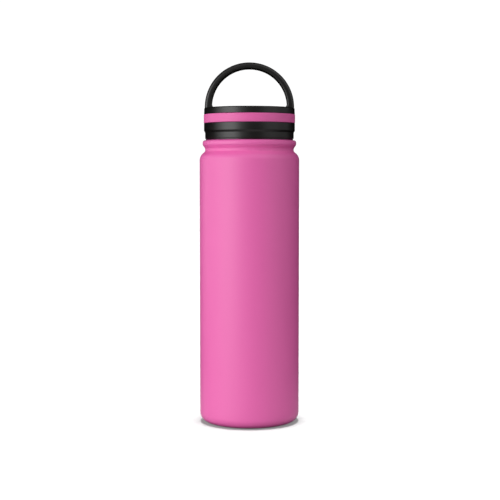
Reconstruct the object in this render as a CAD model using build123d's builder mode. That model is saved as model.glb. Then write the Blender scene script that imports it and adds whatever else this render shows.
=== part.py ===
from build123d import *
from math import asin, cos, degrees, pi, radians, sin, tan
import os

# A wide-mouth vacuum bottle with a screw lid and a moulded carry loop.
# Millimetres, +Z up. The origin is the centre of the foot, on the surface the bottle stands on.
# The carry loop lies in the XZ plane. Every piece is a separate closed solid.

os.makedirs("parts", exist_ok=True)

# ---------------------------------------------------------------- driving dimensions

# Outer tube and its pressed base
body_radius = 36.5
shell_wall = 0.5
base_seam_z = 10.0
base_corner_radius = 7.2
foot_inner_radius = 26.0
recess_radius = 24.5
recess_height = 2.6
dimple_radius = 5.2
dimple_floor_radius = 3.8
dimple_height = 4.2
seal_hole_radius = 1.0
seal_bead_radius = 2.8
seal_bead_height = 1.0
seal_hole_play = 0.05
base_disc_radius = 23.3
base_disc_thickness = 0.5

# Shoulder, groove, collar and mouth: corner heights, and slopes in degrees from the vertical
shoulder_z = 195.7
shoulder_slope = 48
groove_radius = 32.45
groove_top_z = 201.3
collar_slope = 34
collar_radius = 34.28
ledge_z = 207.3
rim_neck_radius = 31.2
mouth_z = 208.3

# Liner, with the vacuum gap around it
vacuum_gap = 2.0
liner_wall = 0.45
liner_radius = body_radius - shell_wall - vacuum_gap
liner_seam_z = 16.0
liner_foot_z = 6.4
liner_foot_radius = 20.0
liner_dome_radius = 17.0
liner_dome_z = 7.6
neck_outer_radius = 30.4
neck_bore_radius = neck_outer_radius - liner_wall
neck_bottom_z = 191.5

# Foil round the liner, and the getter pill with its clip on the base
foil_gap = 0.2
foil_thickness = 0.15
foil_bottom_z = 18.0
foil_top_z = 184.0
getter_offset = 14.0
getter_radius = 4.0
getter_height = 2.0
clip_thickness = 0.3
clip_width = 3.0
clip_foot = 2.5

# Two-start screw thread: the neck's ridges point in, the plug's ridges point out between them
thread_starts = 2
thread_lead = 8.0
thread_height = 9.0
thread_crest_half = 0.55
thread_base_half = 1.05
thread_bite = 0.2
neck_thread_z = 194.2
neck_crest_radius = 28.3
plug_thread_z = neck_thread_z - thread_lead / thread_starts / 2
plug_radius = 27.7
plug_crest_radius = 29.4

# Lower lid: threaded plug, skirt, ring and the seat of the accent band
plug_bottom_z = 190.5
plug_bore_radius = 25.6
plug_floor = 2.4
skirt_bottom_z = 208.5
skirt_radius = 32.45
skirt_bore_radius = 31.5
skirt_lip_radius = 31.95
skirt_lip_z = 207.6
skirt_top_z = 212.85
flange_z = 210.2
ring_bottom_z = 214.25
ring_radius = 33.28
band_bottom_z = 219.75
band_top_z = 226.2
band_radius = 33.42
band_seat_radius = 31.6
band_play = 0.05
seal_play = 0.05
spigot_socket_radius = 28.5
spigot_ledge_z = 213.4

# Gasket under the flange
gasket_inner_radius = 28.1
gasket_outer_radius = 31.2

# Upper lid: disc, rim, spigot and the keys that stop it turning
lid_top_z = 230.95
rim_radius = 33.25
rim_top_radius = 33.1
rim_chamfer = 0.6
lid_plate = 2.5
spigot_outer_radius = 28.25
spigot_inner_radius = 26.2
spigot_bottom_z = 213.8
key_count = 4
key_width = 3.0
key_reach = 1.1
key_play = 0.2
key_bottom_z = 219.0

# Carry loop: an outer and an inner arch with a strap between them
loop_outer_radius = 32.6
loop_outer_centre_z = 231.2
loop_inner_radius = 27.45
loop_inner_centre_z = 231.8
loop_foot_fillet = 3.0
loop_root_z = 228.6
strap_width = 12.0
strap_outer_fillet = 2.2
strap_inner_fillet = 1.4

# Loose mixing ball, wound from one wire
ball_radius = 25.0
wire_radius = 1.2
ball_turns = 6
ball_points_per_turn = 10
ball_pole_share = 0.09
ball_clearance = 0.2


# ---------------------------------------------------------------- helpers


def climb(width, slope):
    """Height that a wall leaning by slope degrees from the vertical needs to move width sideways."""
    return width / tan(radians(slope))


def sheet_section(corners, corner_radii, wall, side):
    """Section through a pressed sheet of even wall, whose outer face follows the corners."""
    with BuildSketch(Plane.XZ) as section:
        with BuildLine():
            face_line = FilletPolyline(*corners, radius=corner_radii)
            offset(face_line, amount=wall, side=side)
        make_face()
    return section.sketch


def turned_section(corners, corner_radii):
    """Closed section in the XZ plane, one fillet radius for each corner."""
    with BuildSketch(Plane.XZ) as section:
        with BuildLine():
            FilletPolyline(*corners, radius=corner_radii, close=True)
        make_face()
    return section.sketch


def thread_path(bottom_z, radius, start):
    """Helix of one thread start."""
    turn = 360 / thread_starts * start
    with BuildLine(Plane.XY.offset(bottom_z).rotated((0, 0, turn))) as path:
        Helix(pitch=thread_lead, height=thread_height, radius=radius)
    return path.wires()[0]


def thread_section(path, base_x, crest_x):
    """Ridge section across the start of a thread path, x pointing away from the bottle's axis."""
    start = path @ 0
    with BuildSketch(Plane(start, x_dir=(start.X, start.Y, 0), z_dir=path % 0)) as section:
        Polygon(
            (base_x, -thread_base_half),
            (base_x, thread_base_half),
            (crest_x, thread_crest_half),
            (crest_x, -thread_crest_half),
            align=None,
        )
    return section.sketch


# ---------------------------------------------------------------- bottle

# Outer shell: one drawn sheet from the base seam to the mouth
with BuildPart() as outer_shell:
    groove_bottom_z = shoulder_z + climb(body_radius - groove_radius, shoulder_slope)
    collar_z = groove_top_z + climb(collar_radius - groove_radius, collar_slope)
    shell_corners = [
        (body_radius, base_seam_z),
        (body_radius, shoulder_z),
        (groove_radius, groove_bottom_z),
        (groove_radius, groove_top_z),
        (collar_radius, collar_z),
        (collar_radius, ledge_z),
        (rim_neck_radius, ledge_z),
        (rim_neck_radius, mouth_z),
        (neck_outer_radius, mouth_z),
    ]
    shell_radii = [6.5, 1.3, 2.0, 1.6, 1.7, 0.3, 0.55]
    revolve(sheet_section(shell_corners, shell_radii, shell_wall, Side.LEFT), axis=Axis.Z)
outer_shell.part.label = "outer_shell"
export_step(outer_shell.part, "parts/outer_shell.step")

# Outer base: pressed cup with a foot ring, a recess and a dimple with the evacuation hole
plate_z = recess_height + shell_wall
with BuildPart() as outer_base:
    base_corners = [
        (body_radius, base_seam_z),
        (body_radius, 0),
        (foot_inner_radius, 0),
        (recess_radius, recess_height),
        (dimple_radius, recess_height),
        (dimple_floor_radius, dimple_height),
        (seal_hole_radius, dimple_height),
    ]
    base_radii = [base_corner_radius, 1.2, 1.2, 0.6, 0.6]
    revolve(sheet_section(base_corners, base_radii, shell_wall, Side.RIGHT), axis=Axis.Z)
outer_base.part.label = "outer_base"
export_step(outer_base.part, "parts/outer_base.step")

# Vacuum seal: brazed bead under the dimple, with a stub in the hole
with BuildPart() as vacuum_seal:
    stub_radius = seal_hole_radius - seal_hole_play
    seal_corners = [
        (0, dimple_height - seal_bead_height),
        (seal_bead_radius - seal_bead_height, dimple_height - seal_bead_height),
        (seal_bead_radius, dimple_height),
        (stub_radius, dimple_height),
        (stub_radius, dimple_height + shell_wall),
        (0, dimple_height + shell_wall),
    ]
    revolve(turned_section(seal_corners, [0, 0.8, 0, 0, 0, 0]), axis=Axis.Z)
vacuum_seal.part.label = "vacuum_seal"
export_step(vacuum_seal.part, "parts/vacuum_seal.step")

# Base disc: thin cover under the recess
with BuildPart() as base_disc:
    with BuildSketch(Plane.XY.offset(recess_height - base_disc_thickness)):
        Circle(base_disc_radius)
    extrude(amount=base_disc_thickness)
    chamfer(base_disc.edges().group_by(Axis.Z)[0], length=0.15)
base_disc.part.label = "base_disc"
export_step(base_disc.part, "parts/base_disc.step")

# Getter pill, lying on the base plate in the vacuum gap
with BuildPart() as getter:
    with BuildSketch(Plane.XY.offset(plate_z)):
        with Locations((getter_offset, 0)):
            Circle(getter_radius)
    extrude(amount=getter_height)
    chamfer(getter.edges().group_by(Axis.Z)[-1], length=0.3)
getter.part.label = "getter"
export_step(getter.part, "parts/getter.step")

# Getter clip: bent strip over the pill, welded to the plate by its two feet
with BuildPart() as getter_clip:
    clip_half = getter_radius + 0.2
    clip_top_z = plate_z + getter_height
    with BuildSketch(Plane.XZ):
        with BuildLine():
            clip_line = Polyline(
                (getter_offset - clip_half - clip_foot, plate_z),
                (getter_offset - clip_half, plate_z),
                (getter_offset - clip_half, clip_top_z),
                (getter_offset + clip_half, clip_top_z),
                (getter_offset + clip_half, plate_z),
                (getter_offset + clip_half + clip_foot, plate_z),
            )
            offset(clip_line, amount=clip_thickness, side=Side.LEFT, kind=Kind.INTERSECTION)
        make_face()
    extrude(amount=clip_width / 2, both=True)
getter_clip.part.label = "getter_clip"
export_step(getter_clip.part, "parts/getter_clip.step")

# Inner liner: tube, shoulder and neck in one sheet, with the rolled thread
with BuildPart() as inner_liner:
    liner_shoulder_z = neck_bottom_z - climb(liner_radius - neck_outer_radius, shoulder_slope)
    liner_corners = [
        (liner_radius, liner_seam_z),
        (liner_radius, liner_shoulder_z),
        (neck_outer_radius, neck_bottom_z),
        (neck_outer_radius, mouth_z),
    ]
    revolve(sheet_section(liner_corners, [4.0, 2.5], liner_wall, Side.LEFT), axis=Axis.Z)
    for start in range(thread_starts):
        ridge_path = thread_path(neck_thread_z, neck_bore_radius, start)
        ridge = thread_section(ridge_path, thread_bite, neck_crest_radius - neck_bore_radius)
        sweep(ridge, path=ridge_path, is_frenet=True)
inner_liner.part.label = "inner_liner"
export_step(inner_liner.part, "parts/inner_liner.step")

# Liner base: pressed cup with a slightly raised floor
with BuildPart() as liner_base:
    liner_base_corners = [
        (liner_radius, liner_seam_z),
        (liner_radius, liner_foot_z),
        (liner_foot_radius, liner_foot_z),
        (liner_dome_radius, liner_dome_z),
        (0, liner_dome_z),
    ]
    revolve(sheet_section(liner_base_corners, [6.0, 2.0, 2.0], liner_wall, Side.RIGHT), axis=Axis.Z)
liner_base.part.label = "liner_base"
export_step(liner_base.part, "parts/liner_base.step")

# Foil wrap round the straight part of the liner
with BuildPart() as foil_wrap:
    foil_inner_radius = liner_radius + foil_gap
    with BuildSketch(Plane.XY.offset(foil_bottom_z)):
        Circle(foil_inner_radius + foil_thickness)
        Circle(foil_inner_radius, mode=Mode.SUBTRACT)
    extrude(amount=foil_top_z - foil_bottom_z)
foil_wrap.part.label = "foil_wrap"
export_step(foil_wrap.part, "parts/foil_wrap.step")

# ---------------------------------------------------------------- lid

# Lid plug: closed threaded cup, flange, skirt, ring and the seat of the accent band
with BuildPart() as lid_plug:
    plug_corners = [
        (0, plug_bottom_z),
        (plug_radius, plug_bottom_z),
        (plug_radius, flange_z),
        (skirt_bore_radius, flange_z),
        (skirt_bore_radius, skirt_lip_z),
        (skirt_lip_radius, skirt_lip_z),
        (skirt_lip_radius, skirt_bottom_z),
        (skirt_radius, skirt_bottom_z),
        (skirt_radius, skirt_top_z),
        (ring_radius, ring_bottom_z),
        (ring_radius, band_bottom_z),
        (band_seat_radius, band_bottom_z),
        (band_seat_radius, band_top_z),
        (spigot_socket_radius, band_top_z),
        (spigot_socket_radius, spigot_ledge_z),
        (plug_bore_radius, spigot_ledge_z),
        (plug_bore_radius, plug_bottom_z + plug_floor),
        (0, plug_bottom_z + plug_floor),
    ]
    plug_radii = [0, 1.2, 0, 0, 0, 0.15, 0, 0.25, 0.8, 0.6, 0.3, 0, 0.3, 0.3, 0, 0.5, 1.0, 0]
    revolve(turned_section(plug_corners, plug_radii), axis=Axis.Z)
    for start in range(thread_starts):
        ridge_path = thread_path(plug_thread_z, plug_radius, start)
        ridge = thread_section(ridge_path, -thread_bite, plug_crest_radius - plug_radius)
        sweep(ridge, path=ridge_path, is_frenet=True)
    with BuildSketch(Plane.XY.offset(key_bottom_z - key_play)):
        with PolarLocations(spigot_socket_radius, key_count, start_angle=45):
            Rectangle(2 * (key_reach + key_play), key_width + 2 * key_play)
    extrude(amount=band_top_z - key_bottom_z + key_play, mode=Mode.SUBTRACT)
lid_plug.part.label = "lid_plug"
export_step(lid_plug.part, "parts/lid_plug.step")

# Lid gasket: silicone ring between the flange and the mouth
with BuildPart() as lid_gasket:
    gasket_bottom_z = mouth_z + seal_play
    gasket_top_z = flange_z - seal_play
    gasket_corners = [
        (gasket_inner_radius, gasket_bottom_z),
        (gasket_outer_radius, gasket_bottom_z),
        (gasket_outer_radius, gasket_top_z),
        (gasket_inner_radius, gasket_top_z),
    ]
    revolve(turned_section(gasket_corners, [0.4, 0.4, 0.4, 0.4]), axis=Axis.Z)
lid_gasket.part.label = "lid_gasket"
export_step(lid_gasket.part, "parts/lid_gasket.step")

# Accent band: coloured ring trapped between the two halves of the lid
with BuildPart() as accent_band:
    band_corners = [
        (band_seat_radius + band_play, band_bottom_z + band_play),
        (band_radius, band_bottom_z + band_play),
        (band_radius, band_top_z - band_play),
        (band_seat_radius + band_play, band_top_z - band_play),
    ]
    revolve(turned_section(band_corners, [0, 0.5, 0.5, 0]), axis=Axis.Z)
accent_band.part.label = "accent_band"
export_step(accent_band.part, "parts/accent_band.step")

# Insulation puck: foam that fills the plug up to the lid's plate
with BuildPart() as insulation_puck:
    puck_bottom_z = plug_bottom_z + plug_floor
    with BuildSketch(Plane.XY.offset(puck_bottom_z)):
        Circle(plug_bore_radius - 0.2)
    extrude(amount=lid_top_z - lid_plate - puck_bottom_z)
    fillet(insulation_puck.edges().group_by(Axis.Z)[0], radius=1.2)
insulation_puck.part.label = "insulation_puck"
export_step(insulation_puck.part, "parts/insulation_puck.step")

# Lid cap: the carry loop with its rounded strap, on a disc with a rim, a spigot and keys
with BuildPart() as lid_cap:
    opening_dip = degrees(asin((loop_inner_centre_z - lid_top_z) / loop_inner_radius))
    opening_half = loop_inner_radius * cos(radians(opening_dip))
    with BuildSketch(Plane.XZ):
        with BuildLine():
            Polyline(
                (-loop_outer_radius, loop_outer_centre_z),
                (-loop_outer_radius, loop_root_z),
                (loop_outer_radius, loop_root_z),
                (loop_outer_radius, loop_outer_centre_z),
            )
            CenterArc((0, loop_outer_centre_z), loop_outer_radius, 0, 180)
        make_face()
    extrude(amount=strap_width / 2, both=True)
    sides = lid_cap.edges().group_by(Axis.Y)
    outer_edges = sides[0] + sides[-1] - lid_cap.edges().group_by(Axis.Z)[0]
    fillet(outer_edges, radius=strap_outer_fillet)
    with BuildSketch(Plane.XZ) as opening:
        with BuildLine():
            CenterArc(
                (0, loop_inner_centre_z), loop_inner_radius, -opening_dip, 180 + 2 * opening_dip
            )
            Line((-opening_half, lid_top_z), (opening_half, lid_top_z))
        make_face()
        fillet(opening.vertices(), radius=loop_foot_fillet)
    extrude(amount=strap_width / 2, both=True, mode=Mode.SUBTRACT)
    opening_edges = lid_cap.edges(Select.LAST).group_by(Axis.Y)
    fillet(opening_edges[0] + opening_edges[-1], radius=strap_inner_fillet)
    plate_bottom_z = lid_top_z - lid_plate
    cap_corners = [
        (0, lid_top_z),
        (rim_top_radius - rim_chamfer, lid_top_z),
        (rim_top_radius, lid_top_z - rim_chamfer),
        (rim_radius, band_top_z),
        (spigot_outer_radius, band_top_z),
        (spigot_outer_radius, spigot_bottom_z),
        (spigot_inner_radius, spigot_bottom_z),
        (spigot_inner_radius, plate_bottom_z),
        (0, plate_bottom_z),
    ]
    cap_radii = [0, 0.3, 0.3, 0.25, 0, 0.4, 0.4, 0.5, 0]
    revolve(turned_section(cap_corners, cap_radii), axis=Axis.Z)
    with BuildSketch(Plane.XY.offset(key_bottom_z)):
        with PolarLocations(spigot_outer_radius, key_count, start_angle=45):
            Rectangle(2 * key_reach, key_width)
    extrude(amount=band_top_z - key_bottom_z)
lid_cap.part.label = "lid_cap"
export_step(lid_cap.part, "parts/lid_cap.step")

# ---------------------------------------------------------------- mixing ball


def wire_point(share):
    """Point on the wire's centre line, at a share of its way from the lower pole to the upper."""
    coil_radius = ball_radius - wire_radius
    pole_angle = pi * (ball_pole_share + (1 - 2 * ball_pole_share) * share)
    turn = 2 * pi * ball_turns * share
    ring_radius_here = coil_radius * sin(pole_angle)
    return (
        ring_radius_here * cos(turn),
        ring_radius_here * sin(turn),
        ball_centre_z - coil_radius * cos(pole_angle),
    )


# Mixing ball: one wire wound into a sphere, lying on the liner's floor
floor_z = liner_dome_z + liner_wall
ball_half_height = (ball_radius - wire_radius) * cos(pi * ball_pole_share) + wire_radius
ball_centre_z = floor_z + ball_half_height + ball_clearance
wire_points = ball_turns * ball_points_per_turn
with BuildPart() as mixing_ball:
    with BuildLine() as wire:
        Spline(*[wire_point(step / wire_points) for step in range(wire_points + 1)])
    with BuildSketch(Plane(wire.line @ 0, z_dir=wire.line % 0)):
        Circle(wire_radius)
    sweep()
mixing_ball.part.label = "mixing_ball"
export_step(mixing_ball.part, "parts/mixing_ball.step")
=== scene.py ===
import math

import bmesh
import bpy
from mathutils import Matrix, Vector


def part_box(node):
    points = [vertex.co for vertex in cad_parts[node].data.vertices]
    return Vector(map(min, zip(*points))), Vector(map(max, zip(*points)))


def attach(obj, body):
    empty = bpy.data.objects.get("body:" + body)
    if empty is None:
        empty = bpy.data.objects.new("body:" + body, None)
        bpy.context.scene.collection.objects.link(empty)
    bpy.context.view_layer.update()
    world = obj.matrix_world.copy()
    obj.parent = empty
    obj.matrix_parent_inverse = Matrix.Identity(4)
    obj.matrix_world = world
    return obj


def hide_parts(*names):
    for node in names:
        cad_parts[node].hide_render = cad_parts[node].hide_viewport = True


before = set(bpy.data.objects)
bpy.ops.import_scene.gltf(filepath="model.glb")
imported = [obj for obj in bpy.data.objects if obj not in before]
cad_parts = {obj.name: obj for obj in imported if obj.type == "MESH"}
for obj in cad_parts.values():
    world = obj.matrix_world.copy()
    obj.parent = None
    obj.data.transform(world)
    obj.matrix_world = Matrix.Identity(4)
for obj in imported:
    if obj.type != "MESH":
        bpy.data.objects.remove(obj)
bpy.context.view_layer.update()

# ---------------------------------------------------------------- sizes, in metres

MM = 0.001
AROUND = 256  # segments round a turned piece
ARC_STEPS = 8  # segments in a rounded corner
CREASE = 35  # degrees; steeper edges stay sharp
SAME = 0.01 * MM  # sizes that differ by less than this are one size

# Lowest and highest corners of the CAD pieces that are turned again here
_, shell_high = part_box("outer_shell")
_, base_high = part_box("outer_base")
disc_low, disc_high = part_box("base_disc")
liner_low, liner_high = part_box("inner_liner")
liner_base_low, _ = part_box("liner_base")
plug_low, plug_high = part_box("lid_plug")
band_low, band_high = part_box("accent_band")
gasket_low, gasket_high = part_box("lid_gasket")

body_radius = shell_high.x
mouth_z = shell_high.z
seam_z = base_high.z
liner_radius = liner_high.x
liner_seam_z = liner_low.z

# Sizes that the boxes don't give and that more than one piece needs
shell_wall = 0.5 * MM
liner_wall = 0.45 * MM
shoulder_slope = 48  # degrees from the vertical
neck_outer_radius = 30.4 * MM

# Two-start thread: rolled inwards on the liner's neck, standing out from the plug
thread_lead = 8 * MM
thread_pitch = thread_lead / 2
thread_height = 9 * MM
thread_half_width = 1.05 * MM  # half a ridge's width at its foot
thread_flank = 0.55 * MM
thread_fade = 1.6 * MM  # height over which each end of the thread fades out
thread_overrun = 1 * MM  # part of the fade that lies past the thread's end
thread_mesh_step = 0.15 * MM
neck_thread_z = 194.2 * MM
plug_thread_z = neck_thread_z - thread_pitch / 2


def in_mm(*sizes):
    """Sizes given in millimetres."""
    return [size * MM for size in sizes]


# ---------------------------------------------------------------- outlines


def rounded(corners, radii):
    """Run of (radius, height) points with each inner corner rounded by its own radius."""
    points = [Vector(corners[0])]
    for before, corner, after, radius in zip(corners, corners[1:], corners[2:], radii):
        corner = Vector(corner)
        if radius == 0:
            points.append(corner)
            continue
        to_before = (Vector(before) - corner).normalized()
        to_after = (Vector(after) - corner).normalized()
        half = to_before.angle(to_after) / 2
        centre = corner + (to_before + to_after).normalized() * radius / math.sin(half)
        reach = radius / math.tan(half)
        start = corner + to_before * reach - centre
        end = corner + to_after * reach - centre
        first = math.atan2(start.y, start.x)
        sweep = (math.atan2(end.y, end.x) - first + math.pi) % (2 * math.pi) - math.pi
        for step in range(ARC_STEPS + 1):
            turn = first + sweep * step / ARC_STEPS
            points.append(centre + Vector((math.cos(turn), math.sin(turn))) * radius)
    points.append(Vector(corners[-1]))
    return points


def closed_rounded(corners, radii):
    """Closed outline, one fillet radius for each corner."""
    middle = (Vector(corners[0]) + Vector(corners[-1])) / 2
    return rounded([middle, *corners, middle], radii)[1:]


def beside(points, amount):
    """The run of points moved sideways by amount, to the left of its direction."""
    moved = []
    for i, point in enumerate(points):
        ahead = points[min(i + 1, len(points) - 1)] - points[max(i - 1, 0)]
        moved.append(point + Vector((-ahead.y, ahead.x)).normalized() * amount)
    return moved


def sheet_outline(corners, radii, wall):
    """Closed outline of a pressed sheet whose outer face follows the corners."""
    face = rounded(corners, radii)
    return face + beside(face, wall)[::-1]


def finer(points, low_z, high_z, step):
    """The outline with its upright runs between two heights cut into short steps."""
    cut = []
    for here, after in zip(points, points[1:] + points[:1]):
        cut.append(here)
        upright = abs(here.x - after.x) < SAME and abs(here.y - after.y) > 2 * step
        if upright and min(here.y, after.y) < high_z and max(here.y, after.y) > low_z:
            count = math.ceil(abs(after.y - here.y) / step)
            cut += [here.lerp(after, i / count) for i in range(1, count)]
    return cut


def climb(width, slope):
    """Height in which a wall that leans by slope degrees from the vertical moves width sideways."""
    return width / math.tan(math.radians(slope))


def smooth_step(x):
    """0 below 0, 1 above 1, and an S-curve between."""
    x = min(max(x, 0.0), 1.0)
    return x * x * (3 - 2 * x)


def thread_share(angle, z, bottom_z):
    """How far the two-start thread stands out at a place, from 0 to 1, with faded ends."""
    along = z - bottom_z - thread_lead * angle / (2 * math.pi)
    from_ridge = abs((along + thread_pitch / 2) % thread_pitch - thread_pitch / 2)
    ridge = smooth_step((thread_half_width - from_ridge) / thread_flank)
    from_bottom = z - bottom_z + thread_overrun
    from_top = bottom_z + thread_height + thread_overrun - z
    return ridge * smooth_step(from_bottom / thread_fade) * smooth_step(from_top / thread_fade)


# ---------------------------------------------------------------- meshes


def new_object(name, data):
    """A mesh, light or camera placed in the scene."""
    made = bpy.data.objects.new(name, data)
    bpy.context.scene.collection.objects.link(made)
    return made


def add_piece(name, mesh, body, material, node):
    """Makes a mesh a piece that rides on a body, in place of a CAD node."""
    piece = new_object(name, mesh)
    piece.data.materials.append(material)
    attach(piece, body)
    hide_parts(node)
    return piece


def smooth(mesh):
    """Smooth shading that stays sharp at creases."""
    mesh.polygons.foreach_set("use_smooth", [True] * len(mesh.polygons))
    mesh.set_sharp_from_angle(angle=math.radians(CREASE))


def turned_mesh(name, outline, wave=None):
    """Solid turned about Z from a closed outline; wave(angle, radius, z) may change the radius."""
    bm = bmesh.new()
    rings = []
    for point in outline:
        if point.x < SAME:
            rings.append([bm.verts.new((0, 0, point.y))] * AROUND)
            continue
        ring = []
        for step in range(AROUND):
            angle = 2 * math.pi * step / AROUND
            radius = wave(angle, point.x, point.y) if wave else point.x
            ring.append(bm.verts.new((radius * math.cos(angle), radius * math.sin(angle), point.y)))
        rings.append(ring)
    for here, after in zip(rings, rings[1:] + rings[:1]):
        for step in range(AROUND):
            beyond = (step + 1) % AROUND
            corners = [here[step], here[beyond], after[beyond], after[step]]
            corners = list(dict.fromkeys(corners))
            if len(corners) > 2:
                bm.faces.new(corners)
    bmesh.ops.recalc_face_normals(bm, faces=bm.faces)
    mesh = bpy.data.meshes.new(name)
    bm.to_mesh(mesh)
    bm.free()
    smooth(mesh)
    return mesh


# ---------------------------------------------------------------- materials

# Sockets of a Mix node that mixes colours
MIX_SHARE, MIX_FIRST, MIX_SECOND, MIX_RESULT = 0, 6, 7, 2


def add_node(tree, kind, inputs=None, **settings):
    """A shader node with its settings and its unlinked inputs."""
    node = tree.nodes.new(kind)
    for key, value in settings.items():
        setattr(node, key, value)
    for key, value in (inputs or {}).items():
        node.inputs[key].default_value = value
    return node


def new_material(name, color, roughness, **sockets):
    """A Principled material; sockets are further inputs by name, with _ for spaces."""
    material = bpy.data.materials.new(name)
    material.use_nodes = True
    shader = material.node_tree.nodes["Principled BSDF"]
    shader.inputs["Base Color"].default_value = (*color, 1)
    shader.inputs["Roughness"].default_value = roughness
    for key, value in sockets.items():
        shader.inputs[key.replace("_", " ")].default_value = value
    return material


def noise(tree, scale, detail, stretch=(1, 1, 1)):
    """Noise over the object's own coordinates; scale is in features to the metre."""
    place = add_node(tree, "ShaderNodeTexCoord")
    spread = add_node(tree, "ShaderNodeVectorMath", operation="MULTIPLY")
    spread.inputs[1].default_value = stretch
    cloud = add_node(tree, "ShaderNodeTexNoise", {"Scale": scale, "Detail": detail})
    tree.links.new(place.outputs["Object"], spread.inputs[0])
    tree.links.new(spread.outputs["Vector"], cloud.inputs["Vector"])
    return cloud.outputs["Fac"]


def ring_noise(tree, scale):
    """Noise that only changes with the distance from the Z axis, for a turned disc."""
    place = add_node(tree, "ShaderNodeTexCoord")
    flat = add_node(tree, "ShaderNodeVectorMath", operation="MULTIPLY")
    flat.inputs[1].default_value = (1, 1, 0)
    away = add_node(tree, "ShaderNodeVectorMath", operation="LENGTH")
    inputs = {"Scale": scale, "Detail": 2.0}
    lines = add_node(tree, "ShaderNodeTexNoise", inputs, noise_dimensions="1D")
    tree.links.new(place.outputs["Object"], flat.inputs[0])
    tree.links.new(flat.outputs["Vector"], away.inputs[0])
    tree.links.new(away.outputs["Value"], lines.inputs["W"])
    return lines.outputs["Fac"]


def between(tree, source, low, high, start=0.0, end=1.0):
    """The value low where a source is at start or less, high at end or more, and between them."""
    ranges = {"From Min": start, "From Max": end, "To Min": low, "To Max": high}
    spread = add_node(tree, "ShaderNodeMapRange", ranges)
    tree.links.new(source, spread.inputs["Value"])
    return spread.outputs["Result"]


def vary_roughness(material, source, low, high):
    """Roughness that follows a source between two values."""
    tree = material.node_tree
    shader = tree.nodes["Principled BSDF"]
    tree.links.new(between(tree, source, low, high), shader.inputs["Roughness"])


def vary_color(material, source, dark, light):
    """Base colour that drifts between two close shades."""
    tree = material.node_tree
    shader = tree.nodes["Principled BSDF"]
    mix = add_node(tree, "ShaderNodeMix", data_type="RGBA")
    mix.inputs[MIX_FIRST].default_value = (*dark, 1)
    mix.inputs[MIX_SECOND].default_value = (*light, 1)
    tree.links.new(source, mix.inputs[MIX_SHARE])
    tree.links.new(mix.outputs[MIX_RESULT], shader.inputs["Base Color"])


def add_bumps(material, layers):
    """Bump from (height source, depth in metres) layers, one on top of the other."""
    tree = material.node_tree
    last = None
    for source, depth in layers:
        bump = add_node(tree, "ShaderNodeBump", {"Strength": 1.0, "Distance": depth})
        tree.links.new(source, bump.inputs["Height"])
        if last:
            tree.links.new(last, bump.inputs["Normal"])
        last = bump.outputs["Normal"]
    tree.links.new(last, tree.nodes["Principled BSDF"].inputs["Normal"])


def scaled(color, share):
    """A colour made darker or lighter."""
    return tuple(channel * share for channel in color)


def powder_coat():
    """Satin powder coat: a soft orange peel with a fine grain on it."""
    pink = (0.81, 0.1, 0.405)
    gloss = {"Coat_Weight": 1.0, "Coat_Roughness": 0.35, "Coat_IOR": 1.2}
    material = new_material("powder_coat", pink, 0.65, IOR=1.85, **gloss)
    tree = material.node_tree
    vary_color(material, noise(tree, 1800, 3), scaled(pink, 0.97), scaled(pink, 1.03))
    vary_roughness(material, noise(tree, 700, 2), 0.62, 0.68)
    add_bumps(material, [(noise(tree, 420, 1), 0.012 * MM), (noise(tree, 2600, 2), 0.004 * MM)])
    return material


def band_plastic():
    """Moulded plastic in the coat's pink, a little smoother."""
    pink = (0.77, 0.125, 0.39)
    material = new_material("band_plastic", pink, 0.5, IOR=1.45)
    tree = material.node_tree
    vary_color(material, noise(tree, 300, 2), scaled(pink, 0.985), scaled(pink, 1.015))
    vary_roughness(material, noise(tree, 900, 2), 0.47, 0.53)
    add_bumps(material, [(noise(tree, 3200, 2), 0.003 * MM)])
    return material


def black_plastic():
    """Moulded black plastic with a fine spark-eroded grain."""
    black = (0.0045, 0.0039, 0.0035)
    material = new_material("black_plastic", black, 0.36, IOR=1.48)
    tree = material.node_tree
    vary_color(material, noise(tree, 250, 2), scaled(black, 0.85), scaled(black, 1.15))
    vary_roughness(material, noise(tree, 1100, 3), 0.33, 0.40)
    add_bumps(material, [(noise(tree, 3000, 3), 0.005 * MM)])
    return material


def brushed_steel(name, roughness, lines_scale):
    """Steel with fine grain lines that run round the axis."""
    material = new_material(name, (0.60, 0.59, 0.57), roughness, Metallic=1.0)
    tree = material.node_tree
    lines = noise(tree, 1, 4, stretch=(60, 60, lines_scale))
    vary_roughness(material, lines, roughness - 0.05, roughness + 0.08)
    add_bumps(material, [(lines, 0.004 * MM)])
    return material


def turned_steel():
    """Steel disc with fine rings round its centre."""
    material = new_material("base_steel", (0.58, 0.57, 0.56), 0.32, Metallic=1.0)
    tree = material.node_tree
    rings = ring_noise(tree, 5200)
    vary_roughness(material, rings, 0.26, 0.40)
    add_bumps(material, [(rings, 0.005 * MM)])
    return material


def wire_steel():
    """Bright drawn wire."""
    material = new_material("wire_steel", (0.66, 0.66, 0.65), 0.16, Metallic=1.0)
    tree = material.node_tree
    vary_roughness(material, noise(tree, 500, 2), 0.12, 0.22)
    add_bumps(material, [(noise(tree, 1500, 2), 0.002 * MM)])
    return material


def silicone():
    """Soft, slightly translucent grey silicone."""
    grey = (0.36, 0.37, 0.38)
    depth = {"Subsurface_Weight": 0.15, "Subsurface_Scale": 2 * MM}
    material = new_material("silicone", grey, 0.55, IOR=1.41, **depth)
    tree = material.node_tree
    vary_color(material, noise(tree, 400, 2), scaled(grey, 0.95), scaled(grey, 1.05))
    add_bumps(material, [(noise(tree, 2200, 2), 0.004 * MM)])
    return material


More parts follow.
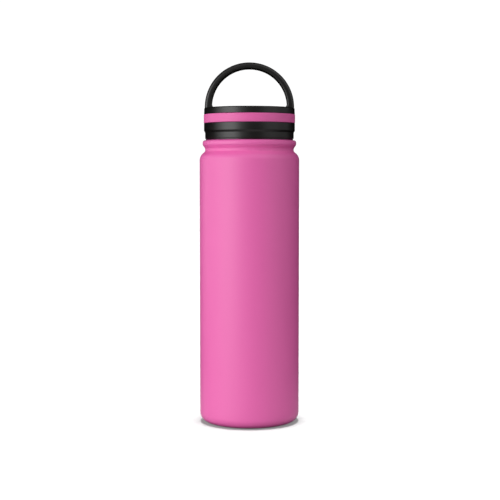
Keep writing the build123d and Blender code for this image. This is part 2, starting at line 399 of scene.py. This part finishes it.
def foam():
    """Closed-cell foam with a skin of small cells."""
    cream = (0.80, 0.78, 0.72)
    material = new_material("foam", cream, 0.9)
    tree = material.node_tree
    place = add_node(tree, "ShaderNodeTexCoord")
    cells = add_node(tree, "ShaderNodeTexVoronoi", {"Scale": 900.0})
    tree.links.new(place.outputs["Object"], cells.inputs["Vector"])
    vary_color(material, cells.outputs["Distance"], scaled(cream, 0.8), cream)
    add_bumps(material, [(cells.outputs["Distance"], 0.15 * MM)])
    return material


def foil():
    """Creased bright foil."""
    material = new_material("foil", (0.82, 0.82, 0.83), 0.2, Metallic=1.0)
    tree = material.node_tree
    vary_roughness(material, noise(tree, 120, 3), 0.14, 0.3)
    add_bumps(material, [(noise(tree, 160, 4), 0.25 * MM), (noise(tree, 700, 3), 0.05 * MM)])
    return material


def dull_metal(name, color, roughness):
    """Unpolished metal with a fine rough skin."""
    material = new_material(name, color, roughness, Metallic=1.0)
    tree = material.node_tree
    vary_color(material, noise(tree, 900, 3), scaled(color, 0.8), scaled(color, 1.1))
    add_bumps(material, [(noise(tree, 1600, 3), 0.03 * MM)])
    return material


coat = powder_coat()
black = black_plastic()
liner_steel = brushed_steel("liner_steel", 0.28, 9000)

# ---------------------------------------------------------------- bottle


def shell_corners():
    """Outer face of the shell, from the base seam to the mouth."""
    shoulder_z = 195.7 * MM
    groove_radius = 32.45 * MM
    groove_top_z = 201.3 * MM
    collar_radius = 34.28 * MM
    collar_slope = 34  # degrees from the vertical
    ledge_z = 207.3 * MM
    rim_neck_radius = 31.2 * MM
    return [
        (body_radius, seam_z),
        (body_radius, shoulder_z),
        (groove_radius, shoulder_z + climb(body_radius - groove_radius, shoulder_slope)),
        (groove_radius, groove_top_z),
        (collar_radius, groove_top_z + climb(collar_radius - groove_radius, collar_slope)),
        (collar_radius, ledge_z),
        (rim_neck_radius, ledge_z),
        (rim_neck_radius, mouth_z),
        (neck_outer_radius, mouth_z),
    ]


def make_shell():
    """Coated tube with its shoulder, groove, collar and rim."""
    radii = in_mm(6.5, 1.3, 2.0, 1.6, 1.7, 0.3, 0.55)
    outline = sheet_outline(shell_corners(), radii, shell_wall)
    mesh = turned_mesh("shell", outline)
    return add_piece("shell", mesh, "bottle", coat, "outer_shell")


def make_base():
    """Coated bottom cup: rounded edge, foot ring, recess, and a dimple with the evacuation hole."""
    foot_inner_radius = 26.0 * MM
    recess_radius = 24.5 * MM
    recess_z = disc_high.z
    dimple_radius = 5.2 * MM
    dimple_top_radius = 3.8 * MM
    dimple_top_z = 4.2 * MM
    hole_radius = 1.0 * MM
    corners = [
        (body_radius, seam_z),
        (body_radius, 0),
        (foot_inner_radius, 0),
        (recess_radius, recess_z),
        (dimple_radius, recess_z),
        (dimple_top_radius, dimple_top_z),
        (hole_radius, dimple_top_z),
    ]
    outline = sheet_outline(corners, in_mm(7.2, 1.2, 1.2, 0.6, 0.6), -shell_wall)
    mesh = turned_mesh("base_cup", outline)
    return add_piece("base_cup", mesh, "bottle", coat, "outer_base")


def make_base_disc():
    """Cover disc with a wide ring that stands a little further down than the rest."""
    rim = disc_high.x
    inner_foot, inner_edge, outer_edge, outer_foot = (rim * share for share in (0.62, 0.66, 0.9, 0.94))
    ring_step = 0.15 * MM
    ring_low, high = disc_low.z, disc_high.z
    low = ring_low + ring_step
    corners = [
        (0, high),
        (0, low),
        (inner_foot, low),
        (inner_edge, ring_low),
        (outer_edge, ring_low),
        (outer_foot, low),
        (rim, low),
        (rim, high),
    ]
    radii = in_mm(0, 0, 0.4, 0.4, 0.4, 0.4, 0.1, 0.05)
    mesh = turned_mesh("disc", closed_rounded(corners, radii))
    add_piece("disc", mesh, "bottle", turned_steel(), "base_disc")


def make_liner():
    """Liner sheet with the thread rolled into its neck, ridges in and hollows outside."""
    neck_bore_radius = neck_outer_radius - liner_wall
    crest_radius = 28.3 * MM
    neck_bottom_z = 191.5 * MM
    shoulder_z = neck_bottom_z - climb(liner_radius - neck_outer_radius, shoulder_slope)
    corners = [
        (liner_radius, liner_seam_z),
        (liner_radius, shoulder_z),
        (neck_outer_radius, neck_bottom_z),
        (neck_outer_radius, mouth_z),
    ]
    outline = sheet_outline(corners, in_mm(4.0, 2.5), liner_wall)
    outline = finer(outline, neck_bottom_z, mouth_z, thread_mesh_step)
    depth = neck_bore_radius - crest_radius

    def rolled(angle, radius, z):
        if radius > neck_outer_radius + SAME:
            return radius
        return radius - depth * thread_share(angle, z, neck_thread_z)

    mesh = turned_mesh("liner", outline, rolled)
    add_piece("liner", mesh, "bottle", liner_steel, "inner_liner")


def make_liner_base():
    """Bottom cup of the liner, with its middle pressed up a little."""
    low = liner_base_low.z
    middle_foot_radius = 20 * MM
    middle_radius = 17 * MM
    middle_z = 7.6 * MM
    corners = [
        (liner_radius, liner_seam_z),
        (liner_radius, low),
        (middle_foot_radius, low),
        (middle_radius, middle_z),
        (0, middle_z),
    ]
    outline = sheet_outline(corners, in_mm(6, 2, 2), -liner_wall)
    mesh = turned_mesh("liner_floor", outline)
    add_piece("liner_floor", mesh, "bottle", liner_steel, "liner_base")


shell = make_shell()
base_cup = make_base()
make_base_disc()
make_liner()
make_liner_base()

# ---------------------------------------------------------------- lid


def plug_corners(plug_radius):
    """Section of the lid's lower half, from the plug's end round the skirt and back inside."""
    flange_z = 210.2 * MM
    skirt_bore_radius = 31.5 * MM
    lip_radius = 31.95 * MM
    lip_z = 207.6 * MM
    skirt_radius = 32.45 * MM
    skirt_z = 208.5 * MM
    step_z = 212.85 * MM
    ring_radius = plug_high.x
    ring_z = 214.25 * MM
    band_z = 219.75 * MM
    band_seat_radius = 31.6 * MM
    top_z = 226.2 * MM
    well_radius = 28.5 * MM
    ledge_z = 213.4 * MM
    bore_radius = 25.6 * MM
    bore_z = 192.9 * MM
    return [
        (0, plug_low.z),
        (plug_radius, plug_low.z),
        (plug_radius, flange_z),
        (skirt_bore_radius, flange_z),
        (skirt_bore_radius, lip_z),
        (lip_radius, lip_z),
        (lip_radius, skirt_z),
        (skirt_radius, skirt_z),
        (skirt_radius, step_z),
        (ring_radius, ring_z),
        (ring_radius, band_z),
        (band_seat_radius, band_z),
        (band_seat_radius, top_z),
        (well_radius, top_z),
        (well_radius, ledge_z),
        (bore_radius, ledge_z),
        (bore_radius, bore_z),
        (0, bore_z),
    ]


def make_lid_plug():
    """Threaded plug, flange, skirt, step and ring."""
    plug_radius = 27.7 * MM
    crest_radius = 29.4 * MM
    radii = in_mm(0, 1.2, 0.3, 0.2, 0, 0.15, 0.1, 0.25, 0.8, 0.6, 0.3, 0, 0.3, 0.3, 0, 0.5, 1.0, 0)
    outline = closed_rounded(plug_corners(plug_radius), radii)
    outline = finer(outline, plug_low.z, mouth_z, thread_mesh_step)
    depth = crest_radius - plug_radius

    def threaded(angle, radius, z):
        if abs(radius - plug_radius) > SAME:
            return radius
        return radius + depth * thread_share(angle, z, plug_thread_z)

    mesh = turned_mesh("lid_body", outline, threaded)
    add_piece("lid_body", mesh, "lid", black, "lid_plug")


def ring_corners(bore_radius, low, high):
    """Section of a plain ring, from its bore and its CAD box."""
    return [(bore_radius, low.z), (high.x, low.z), (high.x, high.z), (bore_radius, high.z)]


def make_band():
    """Accent band, rounded on its outside only."""
    bore_radius = 31.65 * MM
    corners = ring_corners(bore_radius, band_low, band_high)
    mesh = turned_mesh("band", closed_rounded(corners, in_mm(0, 0.5, 0.5, 0)))
    return add_piece("band", mesh, "lid", band_plastic(), "accent_band")


def make_gasket():
    """Silicone ring, rounded at all four edges."""
    bore_radius = 28.1 * MM
    corners = ring_corners(bore_radius, gasket_low, gasket_high)
    mesh = turned_mesh("gasket", closed_rounded(corners, in_mm(0.4, 0.4, 0.4, 0.4)))
    add_piece("gasket", mesh, "gasket", silicone(), "lid_gasket")


make_lid_plug()
band = make_band()
make_gasket()

# ---------------------------------------------------------------- pieces that keep their CAD shape

for node, material in (
    ("insulation_puck", foam()),
    ("foil_wrap", foil()),
    ("getter", dull_metal("getter_metal", (0.16, 0.16, 0.17), 0.6)),
    ("getter_clip", dull_metal("spring_steel", (0.5, 0.5, 0.5), 0.3)),
    ("vacuum_seal", dull_metal("braze", (0.5, 0.45, 0.38), 0.45)),
    ("lid_cap", black),
    ("mixing_ball", wire_steel()),
):
    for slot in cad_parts[node].material_slots:
        slot.material = material

# ---------------------------------------------------------------- stage, light and camera

camera_distance = 910.5 * MM
camera_height = 184.0 * MM
camera_side = 0.42 * MM
camera_drop = 3.592  # degrees below the horizontal
camera_lens = 89.1  # millimetres
sensor_width = 36  # millimetres

backdrop = 1.05  # strength of the white that only the camera sees
room_before = 0.5  # strength of the room before the bottle, as its surfaces see it
room_behind = 0.01
room_turn = (-0.4, 0.2)  # Y of the directions where the room starts and stops darkening
belt_share = 0.22  # share of the room's strength that is left at the bottle's own height
belt_edge = (0.15, 0.4)  # Z, up or down, of the directions where that share starts and stops rising

floor_radius = 6.0
floor_albedo = 0.2  # to the camera
floor_glow = 0.2
floor_light = 13.2
floor_light_angle = 8  # degrees
floor_bounce = 0.115  # the albedo that the bottle sees, where it is highest
bounce_centre = (0, -0.25, 0)  # on the camera's side of the bottle
bounce_fade = (0.2, 0.45)  # distances from the centre where the bounce starts and stops fading

panel_distance = 0.9
panel_height = 0.7
panel_aim = Vector((0, 0, 0.14))


def camera_or_rest(tree, seen, rest):
    """A shader that is one thing to the camera and another to every other ray."""
    rays = add_node(tree, "ShaderNodeLightPath")
    mix = add_node(tree, "ShaderNodeMixShader")
    tree.links.new(rays.outputs["Is Camera Ray"], mix.inputs["Fac"])
    tree.links.new(rest, mix.inputs[1])
    tree.links.new(seen, mix.inputs[2])
    return mix.outputs[0]


def floor_paper():
    """White paper, evenly lit to the camera; to the bottle it is dimmer, and brightest before it."""
    material = new_material("floor_paper", (floor_albedo,) * 3, 0.9, Emission_Strength=floor_glow)
    tree = material.node_tree
    paper = tree.nodes["Principled BSDF"]
    paper.inputs["Emission Color"].default_value = (1, 1, 1, 1)
    dim = add_node(tree, "ShaderNodeBsdfDiffuse")
    place = add_node(tree, "ShaderNodeTexCoord")
    away = add_node(tree, "ShaderNodeVectorMath", operation="DISTANCE")
    away.inputs[1].default_value = bounce_centre
    tree.links.new(place.outputs["Object"], away.inputs[0])
    bounce = between(tree, away.outputs["Value"], floor_bounce, 0.0, *bounce_fade)
    tree.links.new(bounce, dim.inputs["Color"])
    surface = camera_or_rest(tree, paper.outputs["BSDF"], dim.outputs["BSDF"])
    tree.links.new(surface, tree.nodes["Material Output"].inputs["Surface"])
    return material


def make_floor():
    """Round floor, far wider than the view."""
    bm = bmesh.new()
    bmesh.ops.create_circle(bm, cap_ends=True, radius=floor_radius, segments=96)
    mesh = bpy.data.meshes.new("floor")
    bm.to_mesh(mesh)
    bm.free()
    floor = new_object("floor", mesh)
    floor.data.materials.append(floor_paper())
    return floor


def light_only(light, receivers):
    """Keeps a light to some objects."""
    lit = bpy.data.collections.new("lit_by_" + light.name)
    for receiver in receivers:
        lit.objects.link(receiver)
    light.light_linking.receiver_collection = lit


def light_floor(floor):
    """Soft light from straight above that only the floor takes, so the bottle shades its foot."""
    light = bpy.data.lights.new("floor_light", "SUN")
    light.energy = floor_light
    light.angle = math.radians(floor_light_angle)
    light_only(new_object("floor_light", light), [floor])


def make_world():
    """White to the camera; to the object, a room that is dark behind it and at its own height."""
    world = bpy.data.worlds.new("studio")
    bpy.context.scene.world = world
    world.use_nodes = True
    tree = world.node_tree
    tree.nodes.clear()
    seen = add_node(tree, "ShaderNodeBackground", {"Color": (1, 1, 1, 1), "Strength": backdrop})
    room = add_node(tree, "ShaderNodeBackground", {"Color": (1, 1, 1, 1)})
    direction = add_node(tree, "ShaderNodeTexCoord")
    split = add_node(tree, "ShaderNodeSeparateXYZ")
    steepness = add_node(tree, "ShaderNodeMath", operation="ABSOLUTE")
    strength = add_node(tree, "ShaderNodeMath", operation="MULTIPLY")
    tree.links.new(direction.outputs["Generated"], split.inputs["Vector"])
    tree.links.new(split.outputs["Z"], steepness.inputs[0])
    depth = between(tree, split.outputs["Y"], room_before, room_behind, *room_turn)
    belt = between(tree, steepness.outputs[0], belt_share, 1.0, *belt_edge)
    tree.links.new(depth, strength.inputs[0])
    tree.links.new(belt, strength.inputs[1])
    tree.links.new(strength.outputs[0], room.inputs["Strength"])
    surface = camera_or_rest(tree, seen.outputs[0], room.outputs[0])
    tree.links.new(surface, add_node(tree, "ShaderNodeOutputWorld").inputs["Surface"])


def add_panel(name, azimuth, elevation, angle, radiance):
    """Softbox that is angle degrees wide from the bottle, at an azimuth to the camera's right."""
    width = 2 * panel_distance * math.tan(math.radians(angle / 2))
    light = bpy.data.lights.new(name, "AREA")
    light.shape = "RECTANGLE"
    light.size, light.size_y = width, panel_height
    light.energy = radiance * math.pi * width * panel_height
    panel = new_object(name, light)
    turn, rise = math.radians(azimuth), math.radians(elevation)
    away = Vector((math.sin(turn) * math.cos(rise), -math.cos(turn) * math.cos(rise), math.sin(rise)))
    panel.location = panel_aim + away * panel_distance
    panel.rotation_mode = "QUATERNION"
    panel.rotation_quaternion = away.to_track_quat("Z", "Y")
    panel.visible_camera = False
    return panel


def make_camera():
    """Long lens, a little above the bottle's middle and tipped down."""
    camera = new_object("camera", bpy.data.cameras.new("camera"))
    camera.location = (camera_side, -camera_distance, camera_height)
    camera.rotation_euler = (math.radians(90 - camera_drop), 0, 0)
    camera.data.lens = camera_lens
    camera.data.sensor_width = sensor_width
    bpy.context.scene.camera = camera


light_floor(make_floor())
make_world()

# The rim panel leaves out the black pieces, whose highlight it would widen
rim = add_panel("rim", -110, 8, 30, 1.35)
light_only(rim, [shell, base_cup, band])

# Name, azimuth, elevation and width in degrees, and radiance
for panel in (
    ("key_edge", -80, 8, 20, 1.4),
    ("key_outer", -60, 8, 20, 3.85),
    ("key_inner", -40, 8, 20, 4.35),
    ("key_fade", -20, 8, 20, 0.55),
    ("fill_low", 55, 8, 40, 0.67),
    ("fill_edge", 95, 8, 40, 0.38),
    ("fill_high", 55, 50, 50, 0.75),
    ("overhead", -10, 72, 50, 0.2),
):
    add_panel(*panel)

make_camera()
bpy.context.scene.view_settings.view_transform = "Standard"
